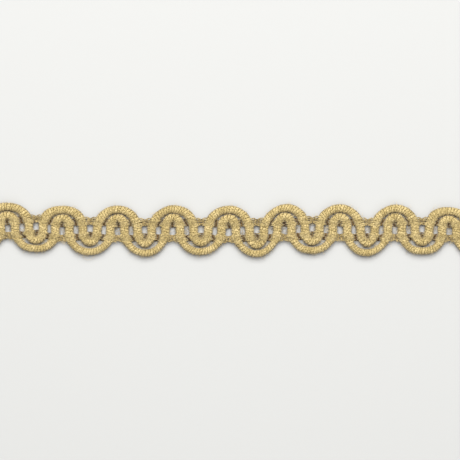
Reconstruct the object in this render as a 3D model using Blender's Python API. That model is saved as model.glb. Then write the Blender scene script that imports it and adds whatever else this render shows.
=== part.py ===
# Cut length of scroll gimp braid, lying flat on its back.
# Two wrapped cords wave side by side along the braid. Two rows of chain stitch, one above and one
# below the middle line, loop over every upright run of the cords and hold the waves in place.
# X runs along the braid, Y across it, Z up. The origin is the middle of its underside.

from collections import namedtuple
import math

import bmesh
import bpy
from mathutils import Matrix, Vector

mm = 0.001

# Driving sizes
braid_width = 12.7 * mm
cord_width = 2.0 * mm
tight_width = 1.7 * mm
gap = 0.3 * mm
row_offset = 1.6 * mm
stitch_width = 1.0 * mm
thread_thickness = 0.35 * mm

# How the cords bend, as shares of the space between neighbouring runs
wide_share = 1.5
tight_share = 0.5
squareness = 2.05
bend_steps = 24

# How the cords are pressed flat under a row of stitches, and how finely they are made
pressed_height = 1.0 * mm
pressed_reach = 0.8 * mm
pressed_end = 1.1 * mm
longest_step = 1.0 * mm
cord_sides = 8

# The form of a row of stitches
ridge_offset = 0.3 * mm
groove_depth = 0.18 * mm
edge_drop = 0.15 * mm
shoulder_drop = 0.45 * mm
shoulder_inset = 0.45 * mm
shoulder_share = 0.35
slit_step = 0.06 * mm
slit_floor = 0.6 * mm
cut_height = 1.2 * mm
window_corner = 0.35 * mm
valley_reach = 0.9 * mm
valley_spread = 0.8 * mm
bar_reach = 0.6 * mm
bar_spread = 0.3 * mm

# Each repeat from one trough to the next, in millimetres: the way along the braid up to its crest
# and down again, how far its first trough and its crest stand off the straight line, and how far
# those two bends lean to the right.
Repeat = namedtuple("Repeat", "rise fall trough_sway crest_sway trough_lean crest_lean")
repeats = [
    Repeat(6.50, 7.06, 0.95, 0.73, 0.0, -0.15),
    Repeat(6.35, 6.89, 0.89, -0.16, -0.33, 0.3),
    Repeat(6.63, 6.64, 0.13, -0.17, 0.0, 0.2),
    Repeat(7.00, 7.01, -0.02, -0.01, 0.33, 0.23),
    Repeat(6.85, 6.89, 0.1, -0.2, -0.17, 0.1),
    Repeat(6.83, 6.86, -0.38, 0.19, 0.0, 0.4),
    Repeat(6.87, 6.89, 0.32, 0.09, -0.14, 0.0),
    Repeat(6.67, 6.70, -0.13, -0.05, -0.32, 0.33),
    Repeat(6.78, 6.82, 0.07, -0.54, -0.05, -0.05),
]
last_trough_sway = -0.45
last_trough_lean = 0.0

# Worked out from the driving sizes
outer_rise = (braid_width - cord_width) / 2
inner_rise = outer_rise - cord_width / 2 - gap - tight_width / 2
pressed_middle = thread_thickness + gap + pressed_height / 2
window_top = thread_thickness + gap + pressed_height + gap
stitch_top = window_top + thread_thickness
braid_length = sum(repeat.rise + repeat.fall for repeat in repeats) * mm

quarter_turn = math.pi / 2
smooth_limit = math.radians(40)
cord_colour = (0.62, 0.49, 0.22, 1.0)
thread_colour = (0.60, 0.47, 0.21, 1.0)


def clear_scene():
    for old in list(bpy.data.objects):
        bpy.data.objects.remove(old, do_unlink=True)


def yarn_material(name, colour):
    material = bpy.data.materials.new(name)
    material.use_nodes = True
    shader = material.node_tree.nodes["Principled BSDF"]
    shader.inputs["Base Color"].default_value = colour
    shader.inputs["Roughness"].default_value = 0.85
    shader.inputs["Metallic"].default_value = 0.0
    return material


def bend_places():
    """Where the middles of the troughs and of the crests lie along the braid."""
    troughs, crests = [-braid_length / 2], []
    for repeat in repeats:
        crests.append(troughs[-1] + repeat.rise * mm)
        troughs.append(crests[-1] + repeat.fall * mm)
    return troughs, crests


def ease(marks, x):
    """A value read at x from (place, value) marks, running smoothly from each to the next."""
    if x <= marks[0][0]:
        return marks[0][1]
    for (x0, value0), (x1, value1) in zip(marks, marks[1:]):
        if x <= x1:
            share = (x - x0) / (x1 - x0)
            return value0 + (value1 - value0) * share * share * (3 - 2 * share)
    return marks[-1][1]


def unevenness():
    """The marks of the braid's sway, and of the lean of its troughs and of its crests."""
    troughs, crests = bend_places()
    trough_sways = [repeat.trough_sway * mm for repeat in repeats] + [last_trough_sway * mm]
    trough_leans = [repeat.trough_lean * mm for repeat in repeats] + [last_trough_lean * mm]
    crest_sways = [repeat.crest_sway * mm for repeat in repeats]
    crest_leans = [repeat.crest_lean * mm for repeat in repeats]
    sways = sorted([*zip(troughs, trough_sways), *zip(crests, crest_sways)])
    crest_marks = [(troughs[0], 0.0), *zip(crests, crest_leans), (troughs[-1], 0.0)]
    return sways, list(zip(troughs, trough_leans)), crest_marks


def settle(x, y, marks):
    """Where a point of the even, straight braid lies on the real one."""
    sways, trough_leans, crest_leans = marks
    lean = ease(crest_leans if y > 0 else trough_leans, x)
    return x + lean * (y / outer_rise) ** 2, y + ease(sways, x)


def wide_bend(pitch):
    """The outer cord from the top of its bend to the middle line, as (sideways, rise)."""
    points = []
    for step in range(bend_steps + 1):
        angle = quarter_turn * step / bend_steps
        across = math.sin(angle) ** (2 / squareness)
        up = max(math.cos(angle), 0.0) ** (2 / squareness)
        points.append((wide_share * pitch * across, outer_rise * up))
    return points


def tight_bend(pitch):
    """The inner cord from the top of its half circle down a straight run to the middle line."""
    radius = tight_share * pitch
    points = []
    for step in range(bend_steps + 1):
        angle = quarter_turn * step / bend_steps
        points.append((radius * math.sin(angle), inner_rise - radius + radius * math.cos(angle)))
    points.append((radius, 0.0))
    return points


def cord_line(crest_bend, trough_bend):
    """The cord's centreline as (x, y) on the even, straight braid."""
    troughs, crests = bend_places()
    line = []
    for start, crest, end in zip(troughs, crests, troughs[1:]):
        rise_pitch, fall_pitch = (crest - start) / 2, (end - crest) / 2
        line += [(start + across, -rise) for across, rise in trough_bend(rise_pitch)]
        line += [(crest - across, rise) for across, rise in reversed(crest_bend(rise_pitch))]
        line += [(crest + across, rise) for across, rise in crest_bend(fall_pitch)]
        line += [(end - across, -rise) for across, rise in reversed(trough_bend(fall_pitch))]
    kept = [Vector(line[0])]
    for point in line[1:]:
        if (Vector(point) - kept[-1]).length > 0.001 * mm:
            kept.append(Vector(point))
    return kept


def distances(line):
    """How far along the line each of its points is."""
    found = [0.0]
    for before, after in zip(line, line[1:]):
        found.append(found[-1] + (after - before).length)
    return found


def point_at(line, along, distance):
    for index in range(1, len(line)):
        if distance <= along[index]:
            share = (distance - along[index - 1]) / (along[index] - along[index - 1])
            return line[index - 1].lerp(line[index], share)
    return line[-1]


def crossings(line, height):
    """(distance along the line, x) wherever the line passes that height."""
    along = distances(line)
    found = []
    for index in range(1, len(line)):
        below, above = line[index - 1].y - height, line[index].y - height
        if (below < 0) != (above < 0):
            share = below / (below - above)
            distance = along[index - 1] + share * (along[index] - along[index - 1])
            found.append((distance, line[index - 1].lerp(line[index], share).x))
    return found


def width_marks(line, wide_height):
    """(distance, width) at every row of stitches; the cord is wide at one row and slim at the other."""
    marks = []
    for height in (row_offset, -row_offset):
        width = cord_width if height == wide_height else tight_width
        marks += [(distance, width) for distance, _ in crossings(line, height)]
    return sorted(marks)


def cord_stations(line, marks):
    """How far along the line each ring of the cord is: four at every stitch and enough between."""
    fixed = [0.0, distances(line)[-1]]
    for distance, _ in marks:
        fixed += [distance + shift for shift in (-pressed_end, -pressed_reach, pressed_reach, pressed_end)]
    fixed.sort()
    stations = [fixed[0]]
    for start, end in zip(fixed, fixed[1:]):
        parts = math.ceil((end - start) / longest_step)
        stations += [start + (end - start) * number / parts for number in range(1, parts + 1)]
    return stations


def press(y, z):
    """The height of a point of the cord once the rows of stitches have pressed it flat."""
    distance = abs(abs(y) - row_offset)
    share = min(max((pressed_end - distance) / (pressed_end - pressed_reach), 0.0), 1.0)
    pressed = pressed_middle + (z - cord_width / 2) * pressed_height / cord_width
    return z + (pressed - z) * share


def make_cord(name, line, wide_height, collection):
    """A cord as a bevelled curve, eight-sided with one flat side down, then pressed and settled."""
    curve = bpy.data.curves.new(name, "CURVE")
    curve.dimensions = "3D"
    curve.twist_mode = "Z_UP"
    curve.bevel_depth = cord_width / 2 / math.cos(math.pi / cord_sides)
    curve.bevel_resolution = 2
    curve.use_fill_caps = True
    marks = width_marks(line, wide_height)
    stations = cord_stations(line, marks)
    along = distances(line)
    spline = curve.splines.new("POLY")
    spline.points.add(len(stations) - 1)
    for point, distance in zip(spline.points, stations):
        place = point_at(line, along, distance)
        point.co = (place.x, place.y, cord_width / 2, 1.0)
        point.radius = ease(marks, distance) / cord_width
        point.tilt = math.pi / cord_sides
    mesh = mesh_of(curve)
    mesh.name = name
    mesh_data = bmesh.new()
    mesh_data.from_mesh(mesh)
    bmesh.ops.remove_doubles(mesh_data, verts=mesh_data.verts, dist=0.001 * mm)
    uneven = unevenness()
    for vertex in mesh_data.verts:
        x, y, z = vertex.co
        vertex.co = (*settle(x, y, uneven), press(y, z))
    mesh_data.to_mesh(mesh)
    mesh_data.free()
    return finish(name, mesh, cord_colour, collection)


def mesh_of(curve):
    """The mesh of a curve, which is then removed."""
    guide = bpy.data.objects.new("guide", curve)
    bpy.context.scene.collection.objects.link(guide)
    graph = bpy.context.evaluated_depsgraph_get()
    mesh = bpy.data.meshes.new_from_object(guide.evaluated_get(graph))
    bpy.data.objects.remove(guide, do_unlink=True)
    bpy.data.curves.remove(curve)
    return mesh


def finish(name, mesh, colour, collection):
    """Shades a piece, gives it its yarn and puts it in the collection."""
    mesh.shade_smooth()
    mesh.set_sharp_from_angle(angle=smooth_limit)
    mesh.materials.clear()
    mesh.materials.append(yarn_material(name + "_yarn", colour))
    piece = bpy.data.objects.new(name, mesh)
    collection.objects.link(piece)
    return piece


def run_spans(lines, height):
    """(left, right) of the cord at every upright run that the row of stitches crosses, read from
    a little beyond both edges of the row, because the bends close in there."""
    nudge = 0.05 * mm
    widths = (cord_width, tight_width) if height > 0 else (tight_width, cord_width)
    spans = []
    for line, width in zip(lines, widths):
        along = distances(line)
        levels = []
        for share in (-0.7, -0.35, 0.0, 0.35, 0.7):
            edges = []
            for distance, x in crossings(line, height + share * stitch_width):
                ahead = point_at(line, along, distance + nudge)
                behind = point_at(line, along, distance - nudge)
                lean = abs((ahead - behind).normalized().y)
                edges.append((x - width / 2 / lean, x + width / 2 / lean))
            levels.append(edges)
        for level in zip(*levels):
            spans.append((min(left for left, _ in level), max(right for _, right in level)))
    return sorted(spans)


def window_outline(left, right):
    """The opening that the cord passes through, with its corners cut off."""
    bottom, top, corner = thread_thickness, window_top, window_corner
    return [
        (left + corner, bottom),
        (right - corner, bottom),
        (right, bottom + corner),
        (right, top - corner),
        (right - corner, top),
        (left + corner, top),
        (left, top - corner),
        (left, bottom + corner),
    ]


def stitch_outlines(spans):
    """Each stitch seen from the row's side, as (outer outline, window outline).
    It comes up from the last slit, passes over the cord, drops steeply into the next slit and
    runs back below."""
    windows = [(left - gap, right + gap) for left, right in spans]
    ends = (-braid_length / 2, braid_length / 2)
    start, start_height = ends[0], cut_height
    outlines = []
    for number, (left, right) in enumerate(windows):
        before = windows[number - 1][1] if number else ends[0]
        after = windows[number + 1][0] if number + 1 < len(windows) else ends[1]
        rise_reach = min(thread_thickness, shoulder_share * (left - before))
        drop_reach = min(thread_thickness, shoulder_share * (after - right))
        slit = right + drop_reach + slit_step
        outer = [
            (start, 0.0),
            (start, start_height),
            (left - rise_reach, stitch_top - shoulder_drop),
            (left + shoulder_inset, stitch_top),
            (right - shoulder_inset, stitch_top),
            (right + drop_reach, stitch_top - shoulder_drop),
            (slit, slit_floor),
        ]
        if after == ends[1]:
            outer += [(ends[1], cut_height), (ends[1], 0.0)]
        else:
            outer.append((slit, 0.0))
        outlines.append((outer, window_outline(left, right)))
        start, start_height = slit, slit_floor
    return outlines


def extrude_outlines(outlines, width):
    """A mesh of flat outlines in the XZ plane, filled and extruded to that width along Y."""
    curve = bpy.data.curves.new("stitch_outline", "CURVE")
    curve.dimensions = "2D"
    curve.fill_mode = "BOTH"
    curve.extrude = width / 2
    for outline in outlines:
        spline = curve.splines.new("POLY")
        spline.points.add(len(outline) - 1)
        for point, (x, z) in zip(spline.points, outline):
            point.co = (x, z, 0.0, 1.0)
        spline.use_cyclic_u = True
    mesh = mesh_of(curve)
    mesh.transform(Matrix.Rotation(quarter_turn, 4, "X"))
    return mesh


def weld_stitches(mesh_data):
    """Joins the stitches of a row where they meet, and removes the walls left between them."""
    bmesh.ops.remove_doubles(mesh_data, verts=mesh_data.verts, dist=0.001 * mm)
    walls = [face for face in mesh_data.faces if all(len(edge.link_faces) > 2 for edge in face.edges)]
    bmesh.ops.delete(mesh_data, geom=walls, context="FACES_ONLY")
    bmesh.ops.recalc_face_normals(mesh_data, faces=mesh_data.faces)


def face_top(mesh_data):
    """The faces of the row's upper side."""
    return [
        face
        for face in mesh_data.faces
        if face.normal.z > 0.01 and max(vertex.co.z for vertex in face.verts) > window_top
    ]


def raise_ridges(mesh_data):
    """Splits the row's top into two ridges with a groove between, as the two legs of a stitch."""
    for offset in (-ridge_offset, 0.0, ridge_offset):
        top = face_top(mesh_data)
        pieces = set(top)
        for face in top:
            pieces.update(face.edges)
            pieces.update(face.verts)
        bmesh.ops.bisect_plane(
            mesh_data,
            geom=list(pieces),
            dist=0.001 * mm,
            plane_co=(0.0, offset, 0.0),
            plane_no=(0.0, 1.0, 0.0),
        )
    mesh_data.normal_update()
    for vertex in {vertex for face in face_top(mesh_data) for vertex in face.verts}:
        if abs(vertex.co.y) < ridge_offset / 2:
            vertex.co.z -= groove_depth
        elif abs(vertex.co.y) > (ridge_offset + stitch_width / 2) / 2:
            vertex.co.z -= edge_drop


def shift_edge(vertices, places, side, reach, shift):
    """Moves the row's edge on that side outward at each place, fading out over the reach."""
    for vertex in vertices:
        distance = min(abs(vertex.co.x - place) for place in places)
        fullness = side * vertex.co.y / (stitch_width / 2)
        if distance < reach and fullness > 0:
            vertex.co.y += side * shift * fullness * (1 - (distance / reach) ** 2)


def bar_middles(spans):
    """The middle of each bar of thread between two runs of cord."""
    return [(right + left) / 2 for (_, right), (left, _) in zip(spans, spans[1:])]


def make_row(name, lines, height, collection):
    """One row of chain stitch, every stitch looped round one run of cord."""
    mesh_data = bmesh.new()
    spans = run_spans(lines, height)
    for outlines in stitch_outlines(spans):
        stitch = extrude_outlines(outlines, stitch_width)
        mesh_data.from_mesh(stitch)
        bpy.data.meshes.remove(stitch)
    weld_stitches(mesh_data)
    raise_ridges(mesh_data)
    troughs, crests = bend_places()
    outward = math.copysign(1.0, height)
    shift_edge(mesh_data.verts, troughs if height > 0 else crests, outward, valley_reach, valley_spread)
    upper_points = [vertex for vertex in mesh_data.verts if vertex.co.z > thread_thickness]
    shift_edge(upper_points, bar_middles(spans), -outward, bar_reach, bar_spread)
    uneven = unevenness()
    for vertex in mesh_data.verts:
        vertex.co.x, vertex.co.y = settle(vertex.co.x, vertex.co.y + height, uneven)
    mesh = bpy.data.meshes.new(name)
    mesh_data.to_mesh(mesh)
    mesh_data.free()
    return finish(name, mesh, thread_colour, collection)


def centre_on_origin(pieces):
    """Moves the whole braid sideways, so that the origin is the middle of its underside."""
    heights = [vertex.co.y for piece in pieces for vertex in piece.data.vertices]
    for piece in pieces:
        piece.location.y = -(min(heights) + max(heights)) / 2


def main():
    clear_scene()
    collection = bpy.data.collections.new("gimp_braid")
    bpy.context.scene.collection.children.link(collection)
    upper = cord_line(wide_bend, tight_bend)
    lower = cord_line(tight_bend, wide_bend)
    pieces = [
        make_cord("upper_cord", upper, row_offset, collection),
        make_cord("lower_cord", lower, -row_offset, collection),
        make_row("upper_stitches", (upper, lower), row_offset, collection),
        make_row("lower_stitches", (upper, lower), -row_offset, collection),
    ]
    centre_on_origin(pieces)


main()
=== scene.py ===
import math
import random
from collections import namedtuple

import bmesh
import bpy
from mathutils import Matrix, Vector, noise


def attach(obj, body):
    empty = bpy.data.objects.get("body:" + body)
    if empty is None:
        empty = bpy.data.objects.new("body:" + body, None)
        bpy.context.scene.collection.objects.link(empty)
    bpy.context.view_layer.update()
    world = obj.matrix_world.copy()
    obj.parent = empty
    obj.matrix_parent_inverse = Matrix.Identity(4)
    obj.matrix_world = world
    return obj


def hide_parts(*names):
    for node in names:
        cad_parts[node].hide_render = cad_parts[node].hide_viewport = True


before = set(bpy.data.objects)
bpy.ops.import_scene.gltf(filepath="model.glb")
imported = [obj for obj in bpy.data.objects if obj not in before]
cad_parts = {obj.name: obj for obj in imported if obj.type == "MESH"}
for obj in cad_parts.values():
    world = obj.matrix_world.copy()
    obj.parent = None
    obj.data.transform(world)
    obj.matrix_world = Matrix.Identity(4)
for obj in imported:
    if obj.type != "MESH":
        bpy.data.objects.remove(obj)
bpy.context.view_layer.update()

mm = 0.001
weldReach = 0.0005 * mm
random.seed(11)

braid = {
    "width": 12.68,
    "cord": 2.05,
    "crestGap": 0.05,
    "troughGap": 0.12,
    "gapGrowth": 0.5,
    "squareness": 2.05,
    "crestSquareness": 2.6,
    "plainRoundness": 2.3,
    "wideShare": 1.485,
    "tightShare": 0.518,
    "bendSteps": 60,
    "closest": 0.001,
    "midline": -0.13,  # the CAD is centred on its own box
}
outerRise = (braid["width"] - braid["cord"]) / 2

# One row for each crest: the way up to it and down again, then for the trough before it and for
# itself how far they sway off the straight line and lean, and how far the rows of stitches shift.
Repeat = namedtuple("Repeat", "rise fall troughSway crestSway troughLean crestLean troughRows crestRows")
repeats = [
    Repeat(6.60, 7.06, 0.95, 0.56, 0.0, -0.25, 0.0, 0.1),
    Repeat(6.28, 6.96, 0.86, -0.23, -0.33, 0.37, -0.1, 0.3),
    Repeat(6.73, 6.64, 0.1, -0.14, -0.2, 0.1, 0.1, 0.1),
    Repeat(6.90, 7.01, -0.24, -0.08, 0.23, 0.23, 0.1, 0.1),
    Repeat(6.77, 6.95, 0.07, -0.17, -0.27, 0.18, -0.1, -0.1),
    Repeat(6.75, 6.94, -0.41, 0.22, 0.0, 0.3, 0.35, -0.1),
    Repeat(6.79, 6.81, 0.39, 0.12, -0.22, 0.1, 0.0, 0.1),
    Repeat(6.65, 6.78, -0.16, 0.08, -0.32, 0.13, 0.1, 0.1),
    Repeat(6.60, 7.02, 0.24, -0.51, -0.15, -0.15, -0.1, 0.5),
]
lastTroughSway = -0.45
# a low value leaves a wider gap beside the tight bend
troughRoundness = (2.2, 2.4, 1.95, 1.95, 2.15, 2.3, 2.2, 1.92, 2.15, 2.2)
braidLength = sum(repeat.rise + repeat.fall for repeat in repeats)


def ease(marks, x):
    # smooth run between (place, value) marks
    if x <= marks[0][0]:
        return marks[0][1]
    for (x0, value0), (x1, value1) in zip(marks, marks[1:]):
        if x <= x1:
            share = (x - x0) / (x1 - x0)
            return value0 + (value1 - value0) * share * share * (3 - 2 * share)
    return marks[-1][1]


troughs, crests = [-braidLength / 2], []
for repeat in repeats:
    crests.append(troughs[-1] + repeat.rise)
    troughs.append(crests[-1] + repeat.fall)


def columnMarks(places, column, *last):
    # one column of the table as marks along the braid
    return [*zip(places, [*(getattr(repeat, column) for repeat in repeats), *last])]


swayMarks = sorted(columnMarks(troughs, "troughSway", lastTroughSway) + columnMarks(crests, "crestSway"))
rowMarks = sorted(columnMarks(troughs, "troughRows", 0.0) + columnMarks(crests, "crestRows"))
troughLeans = columnMarks(troughs, "troughLean", 0.0)
crestLeans = [(troughs[0], 0.0), *columnMarks(crests, "crestLean"), (troughs[-1], 0.0)]


def settle(x, y, z):
    # straight braid to real one, mm to m
    lean = ease(crestLeans if y > 0 else troughLeans, x)
    along = x + lean * (y / outerRise) ** 2
    across = y + ease(swayMarks, x) + braid["midline"]
    return Vector((along * mm, across * mm, z * mm))


def bend(reach, rise, squareness):
    # half a bend, from its top out to the middle line
    points = []
    for step in range(braid["bendSteps"] + 1):
        angle = math.pi / 2 * step / braid["bendSteps"]
        across = math.sin(angle) ** (2 / squareness)
        up = max(math.cos(angle), 0.0) ** (2 / squareness)
        points.append((reach * across, rise * up))
    return points


def wideBend(pitch):
    return bend(braid["wideShare"] * pitch, outerRise, braid["squareness"])


def tightBend(pitch, squareness, gap):
    return bend(braid["tightShare"] * pitch, outerRise - braid["cord"] - gap, squareness)


def crestBend(wideSide, pitch):
    if wideSide > 0:
        return wideBend(pitch)
    return tightBend(pitch, braid["crestSquareness"], braid["crestGap"])


def troughBend(wideSide, pitch, number):
    if wideSide < 0:
        return wideBend(pitch)
    gap = braid["troughGap"] + braid["gapGrowth"] * (braid["plainRoundness"] - troughRoundness[number])
    return tightBend(pitch, troughRoundness[number], gap)


def cordLine(wideSide):
    # one cord's middle line, with its wide bends at the crests (1) or at the troughs (-1)
    line = []
    for number, crest in enumerate(crests):
        start, end = troughs[number], troughs[number + 1]
        rise, fall = (crest - start) / 2, (end - crest) / 2
        line += [(start + across, -up) for across, up in troughBend(wideSide, rise, number)]
        line += [(crest - across, up) for across, up in reversed(crestBend(wideSide, rise))]
        line += [(crest + across, up) for across, up in crestBend(wideSide, fall)]
        line += [(end - across, -up) for across, up in reversed(troughBend(wideSide, fall, number + 1))]
    kept = [Vector(line[0])]
    for point in line[1:]:
        if (Vector(point) - kept[-1]).length > braid["closest"]:
            kept.append(Vector(point))
    return kept


def evenPoints(line, step):
    # the same line with a point every step, and its length
    along = [0.0]
    for before, after in zip(line, line[1:]):
        along.append(along[-1] + (after - before).length)
    count = round(along[-1] / step)
    points, index = [], 1
    for number in range(count + 1):
        distance = along[-1] * number / count
        while along[index] < distance and index < len(line) - 1:
            index += 1
        share = (distance - along[index - 1]) / (along[index] - along[index - 1])
        points.append(line[index - 1].lerp(line[index], min(share, 1.0)))
    return points, along[-1]


def crossings(line, height):
    # x wherever the line passes that height
    found = []
    for before, after in zip(line, line[1:]):
        if (before.y < height) != (after.y < height):
            share = (height - before.y) / (after.y - before.y)
            found.append(before.lerp(after, share).x)
    return found


upperLine = cordLine(1)
lowerLine = cordLine(-1)


def runsAt(height):
    # middle of every cord that passes that height
    return sorted(crossings(upperLine, height) + crossings(lowerLine, height))


def rolledTube(rings, sides, place, threads):
    # a flat grid rolled into a tube: place(ring, turn) in mm, threads(ring, turn) for its UV
    mesh = bmesh.new()
    uv = mesh.loops.layers.uv.new("UVMap")
    bmesh.ops.create_grid(mesh, x_segments=rings, y_segments=sides, size=0.5, calc_uvs=True)
    spots = {}
    for vertex in mesh.verts:
        spots[vertex] = round((vertex.co.x + 0.5) * rings), vertex.co.y + 0.5
    for face in mesh.faces:
        for loop in face.loops:
            loop[uv].uv = threads(*spots[loop.vert])
    for vertex, (ring, turn) in spots.items():
        vertex.co = settle(*place(ring, turn))
    bmesh.ops.remove_doubles(mesh, verts=mesh.verts, dist=weldReach)
    return mesh


def closeEnds(mesh, inset=0.0, depth=0.0):
    # flat caps in the second material
    rims = [edge for edge in mesh.edges if edge.is_boundary]
    caps = bmesh.ops.holes_fill(mesh, edges=rims, sides=0)["faces"]
    if inset:
        bmesh.ops.inset_region(mesh, faces=caps, thickness=inset * mm, depth=depth * mm, use_even_offset=False)
    bmesh.ops.recalc_face_normals(mesh, faces=mesh.faces)
    for face in mesh.faces:
        face.smooth = True
    for face in caps:
        face.material_index = 1
        face.smooth = False


def finishPiece(name, meshes, materials, node):
    # joins the meshes into one piece that stands for the CAD node
    data = bpy.data.meshes.new(name)
    whole = bmesh.new()
    for mesh in meshes:
        mesh.to_mesh(data)
        mesh.free()
        whole.from_mesh(data)
    whole.to_mesh(data)
    whole.free()
    for material in materials:
        data.materials.append(material)
    piece = bpy.data.objects.new(name, data)
    bpy.context.scene.collection.objects.link(piece)
    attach(piece, "root")
    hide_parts(node)
    print(name, sum(len(face.vertices) - 2 for face in data.polygons), "triangles")


# Materials

def addNode(tree, kind, links=(), **values):
    node = tree.nodes.new(kind)
    for name, value in values.items():
        setattr(node, name, value)
    for socket, source in links:
        if hasattr(source, "is_output"):
            tree.links.new(source, node.inputs[socket])
        else:
            node.inputs[socket].default_value = source
    return node


def maths(tree, operation, first, second=0.0, third=0.0, clamp=False):
    sources = [(0, first), (1, second), (2, third)]
    return addNode(tree, "ShaderNodeMath", sources, operation=operation, use_clamp=clamp).outputs[0]


def mapRange(tree, value, source, target):
    # source (from, to) becomes target (from, to), held at both ends
    return addNode(tree, "ShaderNodeMapRange", [(0, value), *enumerate((*source, *target), 1)]).outputs[0]


def mixColours(tree, share, first, second, blend="MIX"):
    sources = [(0, share), (6, first), (7, second)]
    return addNode(tree, "ShaderNodeMix", sources, data_type="RGBA", blend_type=blend).outputs[2]


def noisePattern(tree, place, detail, scale=1.0, roughness=0.5):
    sources = [("Vector", place), ("Scale", scale), ("Detail", detail), ("Roughness", roughness)]
    return addNode(tree, "ShaderNodeTexNoise", sources).outputs["Fac"]


def srgb(red, green, blue):
    # photo colour 0 to 255 to linear
    linear = []
    for value in (red, green, blue):
        value /= 255
        linear.append(value / 12.92 if value <= 0.04045 else ((value + 0.055) / 1.055) ** 2.4)
    return (*linear, 1.0)


yarnColours = {
    "groove": srgb(140, 114, 64),
    "body": srgb(199, 178, 124),
    "bright": srgb(216, 198, 150),
    # painted shade: the brown that darkens the low creases
    "depth": (0.3, 0.21, 0.11, 1.0),
    "none": (1.0, 1.0, 1.0, 1.0),
}
yarnFinish = {
    "pairReach": 0.45,
    "tintShare": 0.5,
    "tintStart": -0.1,
    "fibreSpan": (0.3, 0.7),
    "cloudSpan": (0.3, 0.7),
    "cloud": (0.9, 1.05),
    "grainSpan": (0.36, 0.6),
    "grainLight": 1.22,
    "shallowSpan": (0.75 * mm, 1.65 * mm),
    "slopeSpan": (0.3, -0.1),
    "greenPower": 1.05,
    "bluePower": 1.35,
    "bumpHeight": 0.03,
    "roughness": 0.85,
    "specular": 0.2,
    "sheen": 0.25,
    "sheenRoughness": 0.5,
}


def yarnMaterial(name, look):
    # threads lie side by side: UV x counts them, UV y runs along each
    material = bpy.data.materials.new(name)
    material.use_nodes = True
    tree = material.node_tree
    shader = tree.nodes["Principled BSDF"]
    uv = addNode(tree, "ShaderNodeUVMap", uv_map="UVMap").outputs[0]
    parts = addNode(tree, "ShaderNodeSeparateXYZ", [(0, uv)])
    thread, along = parts.outputs[0], parts.outputs[1]
    ground = addNode(tree, "ShaderNodeTexCoord").outputs["Object"]

    def onThreads(across, lengthwise):
        sources = [(0, maths(tree, "MULTIPLY", thread, across)), (1, maths(tree, "MULTIPLY", along, lengthwise))]
        return addNode(tree, "ShaderNodeCombineXYZ", sources).outputs[0]

    # painted shade in the groove beside each thread, a darker painted shade beside each pair, and a random tint
    # of its own for the pair
    crown = maths(tree, "PINGPONG", maths(tree, "FRACT", thread), 0.5)
    crown = maths(tree, "POWER", maths(tree, "MULTIPLY", crown, 2.0), look["grooveWidth"])
    inPair = maths(tree, "PINGPONG", thread, 1.0)
    pair = mapRange(tree, inPair, (0.0, yarnFinish["pairReach"]), (look["pairShade"], 1.0))
    index = maths(tree, "FLOOR", maths(tree, "MULTIPLY", thread, 0.5))
    tint = addNode(tree, "ShaderNodeTexWhiteNoise", [("W", index)], noise_dimensions="1D").outputs["Value"]
    tone = mapRange(tree, tint, (0.0, 1.0), (look["darkThread"], look["lightThread"]))

    # fibres and flecks along the threads, and clouds over the whole piece
    fibre = noisePattern(tree, onThreads(look["fibresAcross"], look["fibresAlong"]), detail=3.0, roughness=0.65)
    shade = mapRange(tree, fibre, yarnFinish["fibreSpan"], (look["shade"], 1.0))
    patches = noisePattern(tree, ground, scale=look["patchScale"], detail=2.0)
    cloud = mapRange(tree, patches, yarnFinish["cloudSpan"], yarnFinish["cloud"])
    flecks = noisePattern(tree, onThreads(look["flecksAcross"], look["flecksAlong"]), detail=1.0)
    grain = mapRange(tree, flecks, yarnFinish["grainSpan"], (look["grainDark"], yarnFinish["grainLight"]))

    # painted shade: the groove colour darkens each thread's sides, where the grooves between threads fall in
    # shade
    colour = mixColours(tree, crown, yarnColours["groove"], yarnColours["body"])
    light = maths(tree, "MULTIPLY_ADD", tint, yarnFinish["tintShare"], yarnFinish["tintStart"])
    light = maths(tree, "MULTIPLY", light, fibre, clamp=True)
    colour = mixColours(tree, light, colour, yarnColours["bright"])
    colour = mixColours(tree, 1.0, colour, shade, "MULTIPLY")

    # painted shade: low places are darkened brown, but only where the surface faces up, as the shade in the
    # creases
    height = addNode(tree, "ShaderNodeSeparateXYZ", [(0, ground)]).outputs[2]
    shallow = mapRange(tree, height, yarnFinish["shallowSpan"], (0.0, 1.0))
    normal = addNode(tree, "ShaderNodeNewGeometry").outputs["Normal"]
    slope = addNode(tree, "ShaderNodeSeparateXYZ", [(0, normal)]).outputs[2]
    below = mapRange(tree, slope, yarnFinish["slopeSpan"], (0.0, 1.0))
    shallow = maths(tree, "MAXIMUM", shallow, below)
    creaseShade = mixColours(tree, shallow, yarnColours["depth"], yarnColours["none"])

    # dark places browner, bright ones paler: this covers the painted shade beside the pairs as well as the
    # random tones
    threadShade = maths(tree, "MULTIPLY", pair, tone)
    strength = maths(tree, "MULTIPLY", threadShade, maths(tree, "MULTIPLY", cloud, grain))
    warmth = addNode(tree, "ShaderNodeCombineXYZ", [
        (0, strength),
        (1, maths(tree, "POWER", strength, yarnFinish["greenPower"])),
        (2, maths(tree, "POWER", strength, yarnFinish["bluePower"])),
    ]).outputs[0]
    # the warm tones and the painted crease shade both multiply the colour
    for factor in (warmth, creaseShade):
        colour = mixColours(tree, 1.0, colour, factor, "MULTIPLY")
    tree.links.new(colour, shader.inputs["Base Color"])
    bump = addNode(tree, "ShaderNodeBump", [
        ("Strength", look["bump"]), ("Distance", yarnFinish["bumpHeight"] * mm), ("Height", fibre),
    ]).outputs[0]
    tree.links.new(bump, shader.inputs["Normal"])
    shader.inputs["Roughness"].default_value = yarnFinish["roughness"]
    shader.inputs["Specular IOR Level"].default_value = yarnFinish["specular"]
    shader.inputs["Sheen Weight"].default_value = yarnFinish["sheen"]
    shader.inputs["Sheen Roughness"].default_value = yarnFinish["sheenRoughness"]
    return material


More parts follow.
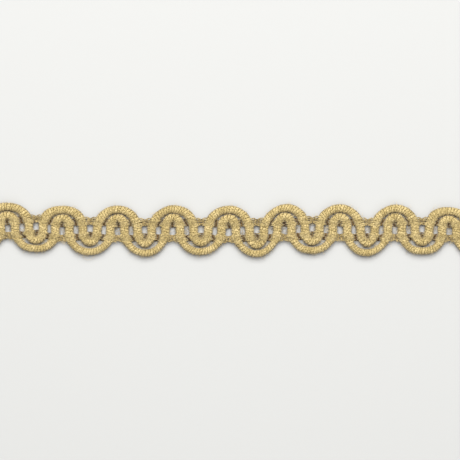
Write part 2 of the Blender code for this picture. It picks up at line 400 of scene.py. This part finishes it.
def plainMaterial(name, colour, roughness):
    material = bpy.data.materials.new(name)
    material.use_nodes = True
    shader = material.node_tree.nodes["Principled BSDF"]
    shader.inputs["Base Color"].default_value = colour
    shader.inputs["Roughness"].default_value = roughness
    shader.inputs["Specular IOR Level"].default_value = yarnFinish["specular"]
    return material


# The two wrapped cords

wrapping = {
    "runWidth": 2.28,
    "crestWidth": 2.05,
    "troughWidth": 1.86,
    "tightWidth": 2.0,
    "pitch": 0.335,
    "ends": 4,
    "ringsPerThread": 5,
    "sides": 20,
    "wayReach": 3,
    "groove": 0.22,
    "innerGroove": 0.07,
    "crownRoundness": 0.6,
    "unevenness": 0.07,
    "jitter": 0.5,
    "jitterPace": 0.7,
    "wander": 0.08,
    "wanderPace": 0.45,
    "rowPlace": 1.75,
    "pressedTop": 1.78,
    "pressedBottom": 0.42,
    "pressReach": 0.55,
    "pressEnd": 1.05,
    "coreInset": 0.3,
    "coreDepth": -0.12,
}
# width by how far the cord is from the middle line on the side of its wide bends
tightMarks = [(-3.2, wrapping["tightWidth"]), (-1.8, wrapping["runWidth"])]
crestMarks = [(3.2, wrapping["runWidth"]), (5.0, wrapping["crestWidth"])]
troughMarks = [(2.3, wrapping["runWidth"]), (3.6, wrapping["troughWidth"])]
wrapLook = {
    "grooveWidth": 0.3,
    "fibresAcross": 7.0,
    "fibresAlong": 16.0,
    "shade": 0.8,
    "bump": 0.5,
    "pairShade": 0.4,
    "darkThread": 0.86,
    "lightThread": 1.04,
    "patchScale": 700.0,
    "flecksAcross": 1.5,
    "flecksAlong": 21.0,
    "grainDark": 0.33,
}
fuzz = {
    "perCord": 3200,
    "shortest": 0.35,
    "longest": 1.5,
    "radius": 0.02,
    "steps": 4,
    "curl": 0.35,
    "taper": 0.5,
    "lowest": 0.0001,
    "rootDepth": 0.03,
    "tipLift": 0.3,
    "bareRings": 4,
    "turns": (0.1, 0.9),
    "turnStep": 0.04,
    "standing": (0.15, 1.1),
    "shortening": (0.5, 1.0),
    "thickness": (0.6, 1.2),
}


def press(y, z):
    # the rows of stitches flatten the cord below them
    distance = abs(abs(y) - wrapping["rowPlace"])
    share = ease([(wrapping["pressReach"], 1.0), (wrapping["pressEnd"], 0.0)], distance)
    flat = wrapping["pressedBottom"] + z / braid["cord"] * (wrapping["pressedTop"] - wrapping["pressedBottom"])
    return z + (flat - z) * share


def cordSurface(line, wideSide, wideMarks, seed):
    # returns the number of rings, the place of any spot on the cord's skin and its thread
    points, length = evenPoints(line, wrapping["pitch"] / wrapping["ringsPerThread"])
    rings = len(points) - 1
    widthMarks = tightMarks + wideMarks

    def threads(ring, turn):
        distance = length * ring / rings
        shift = wrapping["jitter"] * noise.noise(Vector((distance * wrapping["jitterPace"], seed * 5, 2.0)))
        return distance / wrapping["pitch"] + shift + wrapping["ends"] * turn, turn

    def skin(ring, turn, lift=0.0):
        point = points[ring]
        ahead = points[min(ring + wrapping["wayReach"], rings)]
        behind = points[max(ring - wrapping["wayReach"], 0)]
        way = (ahead - behind).normalized()
        side = Vector((-way.y, way.x))
        distance = length * ring / rings
        thread = threads(ring, turn)[0]
        depth = wrapping["groove"] if thread % 2 < 0.5 or thread % 2 > 1.5 else wrapping["innerGroove"]
        crown = math.sin(math.pi * (thread % 1.0)) ** wrapping["crownRoundness"]
        own = noise.noise(Vector((math.floor(thread) * 3.7, turn * 0.7, seed)))
        slow = noise.noise(Vector((distance * 0.35, seed, turn * 3.0)))
        width = ease(widthMarks, point.y * wideSide)
        radius = width / 2 - depth * (1 - crown)
        uneven = wrapping["unevenness"] * (own + slow) * 0.5 * math.sin(math.pi * turn)  # none at the seam
        radius += uneven + lift
        angle = turn * 2 * math.pi - math.pi / 2  # starts underneath
        sideways = radius * math.cos(angle)
        sideways += wrapping["wander"] * noise.noise(Vector((distance * wrapping["wanderPace"], seed * 3, 9.0)))
        up = braid["cord"] / 2 + radius * math.sin(angle) * braid["cord"] / width
        x = point.x + side.x * sideways
        y = point.y + side.y * sideways
        return x, y, max(press(y, up), 0.0)

    return rings, skin, threads


def hairCurve(name):
    curve = bpy.data.curves.new(name, "CURVE")
    curve.dimensions = "3D"
    curve.bevel_depth = mm
    curve.bevel_resolution = 0
    curve.use_fill_caps = True
    return curve


def addHair(curve, start, heading, length, radius, curl):
    # one loose fibre, a few points long and slightly bent
    spline = curve.splines.new("POLY")
    spline.points.add(fuzz["steps"] - 1)
    place = start.copy()
    way = heading.normalized()
    turn = Vector([random.uniform(-curl, curl) for axis in range(3)])
    for number, point in enumerate(spline.points):
        point.co = (*place, 1.0)
        point.radius = radius * (1 - fuzz["taper"] * number / (fuzz["steps"] - 1))
        way = (way + turn).normalized()
        place += way * length / (fuzz["steps"] - 1)
        place.z = max(place.z, fuzz["lowest"] * mm + radius * mm)


def hairMesh(curve):
    # fibres turned into one mesh
    holder = bpy.data.objects.new(curve.name, curve)
    bpy.context.scene.collection.objects.link(holder)
    data = bpy.data.meshes.new_from_object(holder.evaluated_get(bpy.context.evaluated_depsgraph_get()))
    bpy.data.objects.remove(holder)
    mesh = bmesh.new()
    mesh.from_mesh(data)
    bpy.data.meshes.remove(data)
    bmesh.ops.remove_doubles(mesh, verts=mesh.verts, dist=weldReach)
    bmesh.ops.recalc_face_normals(mesh, faces=mesh.faces)
    for face in mesh.faces:
        face.smooth = True
    return mesh


def cordFuzz(name, rings, skin, count):
    # short fibres that lie along the threads and lift off them
    curve = hairCurve(name)
    for number in range(count):
        ring = random.randrange(fuzz["bareRings"], rings - fuzz["bareRings"])
        turn = random.uniform(*fuzz["turns"])
        start = settle(*skin(ring, turn, -fuzz["rootDepth"]))
        outward = settle(*skin(ring, turn, fuzz["tipLift"])) - start
        along = settle(*skin(ring, turn + fuzz["turnStep"])) - settle(*skin(ring, turn - fuzz["turnStep"]))
        heading = along.normalized() * random.choice((-1, 1))
        heading += outward.normalized() * random.uniform(*fuzz["standing"])
        length = random.uniform(fuzz["shortest"], fuzz["longest"]) * random.uniform(*fuzz["shortening"]) * mm
        radius = fuzz["radius"] * random.uniform(*fuzz["thickness"])
        addHair(curve, start, heading, length, radius, fuzz["curl"])
    return hairMesh(curve)


coreMaterial = plainMaterial("cordCore", srgb(205, 188, 148), 0.9)
fibreMaterial = plainMaterial("looseFibre", srgb(204, 184, 134), 0.8)
# painted shade: the fibres in the openings take a darker colour for the shade they lie in
paintedShadeFibreMaterial = plainMaterial("paintedShadeFibre", srgb(158, 136, 90), 0.8)
wrapMaterial = yarnMaterial("cordWrapping", wrapLook)
for name, node, line, wideSide, wideMarks, seed in (
    ("upperCord", "upper_cord", upperLine, 1, crestMarks, 1.3),
    ("lowerCord", "lower_cord", lowerLine, -1, troughMarks, 8.1),
):
    rings, skin, threads = cordSurface(line, wideSide, wideMarks, seed)
    sleeve = rolledTube(rings, wrapping["sides"], skin, threads)
    closeEnds(sleeve, wrapping["coreInset"], wrapping["coreDepth"])
    finishPiece(name, [sleeve], [wrapMaterial, coreMaterial], node)
    hairs = cordFuzz(name + "Fuzz", rings, skin, fuzz["perCord"])
    finishPiece(name + "Fuzz", [hairs], [fibreMaterial], node)
print("cords wrapped")


# The two rows of chain stitch

stitching = {
    "upperMiddle": 1.84,
    "lowerMiddle": 1.7,
    "offsets": (-0.84, -0.56, -0.28, 0.0, 0.28, 0.56, 0.84),
    "radius": 0.145,
    "sides": 8,
    "step": 0.125,
    "fineStep": 0.03,
    "near": 1.0,
    "overTop": 1.86,
    "edgeDrop": 0.07,
    "roundness": 3.4,
    "creaseHeight": 0.5,
    "creaseWidth": 0.36,
    "creasePlace": 0.5,
    "creaseJitter": 0.14,
    "valleyJitter": 0.3,
    "clearance": 0.1,
    "pit": 0.05,
    "pitHeight": 0.75,
    "pitEnd": 0.25,
    "valleyHeight": 1.2,
    "bendEnd": 0.6,
    "bendHeight": 1.35,
    "bendRoom": 0.18,
    "endHeight": 1.5,
    "runSpread": 1.08,
    "gapSpread": 0.74,
    "tightSpread": 1.15,
    "valleySpread": 0.55,
    "spreadJitter": 0.25,
    "upperValleySpread": 1.22,
    "lowerValleySpread": 1.0,
    "valleyReach": 0.9,
    "valleyLip": 1.2,
    "valleyWaist": 0.86,
    "innerWobble": 0.16,
    "wobble": 0.11,
    "heightWobble": 0.05,
    "underOffsets": (-0.4, 0.0, 0.4, 0.8),
    "underHeight": 0.18,
    "underStep": 0.3,
    "underWobble": 0.12,
    "plies": 2,
    "plyWaist": 0.82,
    "plyBulge": 0.18,
    "twist": 1.1,
}
threadLook = {
    "grooveWidth": 0.15,
    "fibresAcross": 5.0,
    "fibresAlong": 3.0,
    "shade": 0.82,
    "bump": 0.5,
    "pairShade": 0.8,
    "darkThread": 0.78,
    "lightThread": 0.98,
    "patchScale": 700.0,
    "flecksAcross": 1.8,
    "flecksAlong": 3.6,
    "grainDark": 0.33,
}


def rowMiddle(side):
    return stitching["upperMiddle"] if side > 0 else stitching["lowerMiddle"]


def isNear(x, places):
    return min(abs(x - place) for place in places) < stitching["near"]


def rowShape(side, offset, runs):
    # how far the strands lie apart along the row, and where they dip between the cords
    valleys, bends = (troughs, crests) if side > 0 else (crests, troughs)
    flare = stitching["upperValleySpread"] if side > 0 else stitching["lowerValleySpread"]
    lip, waist = flare * stitching["valleyLip"], flare * stitching["valleyWaist"]
    reach = stitching["valleyReach"]
    plainSpreads = {
        "valley": stitching["valleySpread"],
        "bend": stitching["tightSpread"],
        "gap": stitching["gapSpread"],
    }
    spreads = [(-braidLength / 2, plainSpreads["gap"])]
    spreads += [(run, stitching["runSpread"]) for run in runs]
    creases = [(-braidLength / 2, "end")]
    for left, right in zip(runs, runs[1:]):
        gap = (left + right) / 2
        kind = "valley" if isNear(gap, valleys) else "bend" if isNear(gap, bends) else "gap"
        if kind == "valley" and offset > 0:
            spreads += [(gap - reach, lip), (gap, waist), (gap + reach, lip)]
        else:
            uneven = stitching["spreadJitter"] * noise.noise(Vector((gap * 1.3, side * 7.0, 3.0)))
            spreads.append((gap, plainSpreads[kind] + uneven))
        drift = stitching["creasePlace"] * noise.noise(Vector((gap * 1.7, side * 5.0, offset * 0.8)))
        jitter = stitching["valleyJitter"] if kind == "valley" else stitching["creaseJitter"]
        if kind == "bend" and offset <= 0:
            kind = "gap"
        creases.append((gap + drift + random.uniform(-jitter, jitter), kind))
    creases.append((braidLength / 2, "end"))
    return sorted(spreads), creases


def strandHeight(x, offset, run, crease, kind):
    # over the round of the cord at run, down into the crease beside it
    top = stitching["overTop"] - stitching["edgeDrop"] * (offset / stitching["offsets"][0]) ** 2
    room = abs(crease - run) - stitching["creaseWidth"]
    bottom = stitching["creaseHeight"]
    if kind == "valley":
        room = min(room, wrapping["runWidth"] / 2 + stitching["clearance"])
        pitMarks = [(stitching["pit"], stitching["pitHeight"]), (stitching["pitEnd"], stitching["valleyHeight"])]
        bottom = ease(pitMarks, abs(x - crease))
    elif kind == "bend":
        room += stitching["bendRoom"]
        bottom = ease([(0.0, bottom), (stitching["bendEnd"], stitching["bendHeight"])], offset)
    elif kind == "end":
        bottom = stitching["endHeight"]
    lift = max(1 - (abs(x - run) / room) ** stitching["roundness"], 0.0) ** 0.5
    return bottom + (top - bottom) * lift


def strandPoints(side, offset, seed):
    # one strand on the face of a row
    runs = runsAt(side * (rowMiddle(side) + offset))
    spreads, creases = rowShape(side, offset, runs)
    wobbleReach = stitching["innerWobble"] if offset == stitching["offsets"][0] else stitching["wobble"]
    fine = []
    count = round(braidLength / stitching["fineStep"])
    bay = 0
    for number in range(count + 1):
        x = -braidLength / 2 + braidLength * number / count
        while x > creases[bay + 1][0] and bay < len(runs) - 1:
            bay += 1
        crease, kind = creases[bay] if x < runs[bay] else creases[bay + 1]
        z = strandHeight(x, offset, runs[bay], crease, kind)
        z += noise.noise(Vector((x * 1.1, seed, 5.0))) * stitching["heightWobble"]
        wobble = noise.noise(Vector((x * 0.8, seed, 0.0))) * wobbleReach
        y = side * (rowMiddle(side) + offset * ease(spreads, x) + wobble) + ease(rowMarks, x)
        fine.append(Vector((x, y, z)))
    return evenPoints(fine, stitching["step"])


def underPoints(side, offset, seed):
    # one strand on the back, flat below the cords
    points = []
    count = round(braidLength / stitching["underStep"])
    for number in range(count + 1):
        x = -braidLength / 2 + braidLength * number / count
        wobble = noise.noise(Vector((x * 0.6, seed, 0.0))) * stitching["underWobble"]
        y = side * (rowMiddle(side) + offset + wobble) + ease(rowMarks, x)
        points.append(Vector((x, y, stitching["underHeight"])))
    return evenPoints(points, stitching["underStep"])


def strandTube(points, length, seed):
    # a twisted thread of two plies along the points
    rings = len(points) - 1
    step = length / rings

    def place(ring, turn):
        ahead = points[min(ring + 1, rings)]
        behind = points[max(ring - 1, 0)]
        way = (ahead - behind).normalized()
        sideways = Vector((-way.y, way.x, 0.0)).normalized()
        up = way.cross(sideways)
        angle = turn * 2 * math.pi
        twist = angle * stitching["plies"] / 2 - ring * step / stitching["twist"] * math.pi
        radius = stitching["radius"] * (stitching["plyWaist"] + stitching["plyBulge"] * abs(math.cos(twist)))
        return points[ring] + sideways * radius * math.cos(angle) + up * radius * math.sin(angle)

    def threads(ring, turn):
        return turn * stitching["plies"] + seed + ring * step / stitching["twist"], ring * step

    tube = rolledTube(rings, stitching["sides"], place, threads)
    closeEnds(tube)
    return tube


threadMaterial = yarnMaterial("stitchThread", threadLook)
for name, node, side, seed in (
    ("upperStitches", "upper_stitches", 1, 20.0),
    ("lowerStitches", "lower_stitches", -1, 40.0),
):
    tubes = []
    for number, offset in enumerate(stitching["offsets"]):
        tubes.append(strandTube(*strandPoints(side, offset, seed + number), seed + number))
    for number, offset in enumerate(stitching["underOffsets"]):
        tubes.append(strandTube(*underPoints(side, offset, seed - number), seed - number))
    finishPiece(name, tubes, [threadMaterial, coreMaterial], node)
print("stitches laid")


# Loose fibres in the openings, beside the bends, over the valleys and off the outline

gapFibres = {
    "perGap": 16,
    "perOpenGap": 1,
    "near": 1.0,
    "reachAlong": 0.75,
    "reachAcross": 1.0,
    "height": (0.2, 0.9),
    "climb": 0.2,
    "length": (0.9, 1.9),
    "curl": 0.3,
}
openGaps = (-47.5, -34.3, -21.0, -14.1, -7.0, -0.3, 6.7, 27.1, 47.5, -44.5, -31.0, -17.4, -3.8)
shoulderFibres = {
    "perBend": 24,
    "across": (1.6, 3.3),
    "out": (2.7, 3.9),
    "height": (0.4, 1.5),
    "outward": (0.5, 3.0),
    "climb": (-0.4, 0.4),
    "length": (0.5, 1.1),
    "curl": 0.3,
}
valleyFibres = {
    "perBend": 30,
    "across": (-1.2, 1.2),
    "in": (0.2, 1.1),
    "height": (1.0, 1.5),
    "slant": (-0.9, 0.9),
    "climb": (0.0, 0.3),
    "length": (0.4, 1.0),
    "curl": 0.4,
}

# stray fibres seen on the outline: where they start, their way and length
Stray = namedtuple("Stray", "x y wayX wayY length")
strays = [
    Stray(41.3, 6.0, 0.1, 1.0, 1.2),
    Stray(41.5, 6.0, -0.3, 1.0, 1.0),
    Stray(50.2, 5.1, 0.0, 1.0, 1.3),
    Stray(51.5, 5.2, 0.4, 1.0, 1.1),
    Stray(29.8, 5.6, 0.4, 1.0, 0.9),
    Stray(25.4, 6.0, 0.3, 1.0, 0.7),
    Stray(27.9, 6.2, -0.2, 1.0, 0.7),
    Stray(21.3, 3.4, 0.3, 1.0, 0.8),
    Stray(32.8, 3.3, 0.3, 1.0, 1.1),
    Stray(-48.8, 4.5, 0.8, 1.0, 0.9),
    Stray(-36.0, -6.3, 0.3, -1.0, 0.7),
    Stray(-24.5, -5.4, -0.8, -1.0, 0.9),
    Stray(-7.9, -6.2, 0.2, -1.0, 0.8),
    Stray(37.6, -3.0, 0.2, -1.0, 1.6),
    Stray(38.9, -3.4, 1.0, 0.3, 1.2),
    Stray(39.7, -3.6, 0.4, -1.0, 0.8),
]
strayLook = {"height": (0.8, 1.4), "climb": 0.1, "thickness": 1.3, "curl": 0.3}
fibreLoop = [(-36.2, -6.3), (-35.6, -7.1), (-34.8, -7.45), (-34.0, -7.3), (-33.4, -6.7), (-33.0, -6.1)]
loopHeight = 0.8


def eitherWay(reach):
    return random.uniform(-reach, reach)


def gapHairs():
    # fibres that cross the gaps between the cords
    curve = hairCurve("gapHairs")
    runs = runsAt(0.0)
    for left, right in zip(runs, runs[1:]):
        middle = (left + right) / 2
        isOpen = min(abs(middle - place) for place in openGaps) < gapFibres["near"]
        for number in range(gapFibres["perOpenGap"] if isOpen else gapFibres["perGap"]):
            x = middle + eitherWay(gapFibres["reachAlong"])
            y = eitherWay(gapFibres["reachAcross"])
            start = settle(x, y, random.uniform(*gapFibres["height"]))
            heading = Vector((eitherWay(1), eitherWay(1), eitherWay(gapFibres["climb"])))
            length = random.uniform(*gapFibres["length"]) * mm
            addHair(curve, start, heading, length, fuzz["radius"], gapFibres["curl"])
    return hairMesh(curve)


def shoulderHair(curve, bendPlace, side):
    across = random.choice((-1, 1)) * random.uniform(*shoulderFibres["across"])
    y = side * random.uniform(*shoulderFibres["out"])
    start = settle(bendPlace + across, y, random.uniform(*shoulderFibres["height"]))
    wayY = side * random.uniform(*shoulderFibres["outward"])
    heading = Vector((across, wayY, random.uniform(*shoulderFibres["climb"])))
    length = random.uniform(*shoulderFibres["length"]) * mm
    addHair(curve, start, heading, length, fuzz["radius"], shoulderFibres["curl"])


def valleyHair(curve, bendPlace, side, middle):
    y = middle - side * random.uniform(*valleyFibres["in"])
    x = bendPlace + random.uniform(*valleyFibres["across"])
    start = settle(x, y, random.uniform(*valleyFibres["height"]))
    wayX, wayY = random.choice((-1, 1)), random.uniform(*valleyFibres["slant"])
    heading = Vector((wayX, wayY, random.uniform(*valleyFibres["climb"])))
    length = random.uniform(*valleyFibres["length"]) * mm
    addHair(curve, start, heading, length, fuzz["radius"], valleyFibres["curl"])


def edgeHairs():
    # at every crest the valley is below it, at every trough above
    curve = hairCurve("edgeHairs")
    for bends, side in ((crests, 1), (troughs[1:-1], -1)):
        for bendPlace in bends:
            for number in range(shoulderFibres["perBend"]):
                shoulderHair(curve, bendPlace, side)
            for number in range(valleyFibres["perBend"]):
                valleyHair(curve, bendPlace, side, -side * rowMiddle(-side))
    for stray in strays:
        start = Vector((stray.x * mm, stray.y * mm, random.uniform(*strayLook["height"]) * mm))
        heading = Vector((stray.wayX, stray.wayY, strayLook["climb"]))
        thickness = fuzz["radius"] * strayLook["thickness"]
        addHair(curve, start, heading, stray.length * mm, thickness, strayLook["curl"])
    loop = curve.splines.new("POLY")
    loop.points.add(len(fibreLoop) - 1)
    for point, (x, y) in zip(loop.points, fibreLoop):
        point.co = (x * mm, y * mm, loopHeight * mm, 1.0)
        point.radius = fuzz["radius"]
    return hairMesh(curve)


# the gap fibres carry the painted shade colour
finishPiece("gapFibres", [gapHairs()], [paintedShadeFibreMaterial], "lower_cord")
finishPiece("edgeFibres", [edgeHairs()], [fibreMaterial], "upper_cord")
print("loose fibres added")


# Floor, light and camera

floorLook = {
    "halfSize": 1.5,
    "colour": (0.4, 0.4, 0.39, 1.0),
    "roughness": 0.9,
}
view = {
    "distance": 0.7,
    "width": 0.1134,
    "centre": (0.000185, -0.00003),
    "sensor": 36.0,
    "clipStart": 0.01,
    "clipEnd": 10.0,
}
Lamp = namedtuple("Lamp", "name place size power")
lamps = [
    Lamp("softLight", (0.0, 0.35, 0.65), 0.6, 11.9),
    Lamp("fillLight", (0.1, -0.5, 0.7), 0.8, 2.5),
]
roomColour = (1.0, 1.0, 1.0, 1.0)
roomLight = 0.35


def buildFloor():
    mesh = bmesh.new()
    bmesh.ops.create_grid(mesh, x_segments=1, y_segments=1, size=floorLook["halfSize"])
    data = bpy.data.meshes.new("floor")
    mesh.to_mesh(data)
    mesh.free()
    data.materials.append(plainMaterial("floorPaper", floorLook["colour"], floorLook["roughness"]))
    floor = bpy.data.objects.new("floor", data)
    bpy.context.scene.collection.objects.link(floor)


def addLamp(lamp):
    # a square light that points at the middle of the floor
    light = bpy.data.lights.new(lamp.name, "AREA")
    light.size = lamp.size
    light.energy = lamp.power
    holder = bpy.data.objects.new(lamp.name, light)
    holder.location = lamp.place
    holder.rotation_euler = (Vector((0, 0, 0)) - Vector(lamp.place)).to_track_quat("-Z", "Y").to_euler()
    bpy.context.scene.collection.objects.link(holder)


def lightRoom():
    world = bpy.data.worlds.new("room")
    world.use_nodes = True
    background = world.node_tree.nodes["Background"]
    background.inputs[0].default_value = roomColour
    background.inputs[1].default_value = roomLight
    bpy.context.scene.world = world


def addCamera():
    camera = bpy.data.cameras.new("camera")
    camera.sensor_width = view["sensor"]
    camera.lens = view["sensor"] * view["distance"] / view["width"]
    camera.clip_start = view["clipStart"]
    camera.clip_end = view["clipEnd"]
    holder = bpy.data.objects.new("camera", camera)
    holder.location = (*view["centre"], view["distance"])
    bpy.context.scene.collection.objects.link(holder)
    bpy.context.scene.camera = holder


buildFloor()
for lamp in lamps:
    addLamp(lamp)
bpy.context.scene.view_settings.view_transform = "Standard"
lightRoom()
addCamera()
print("floor, lights and camera placed")
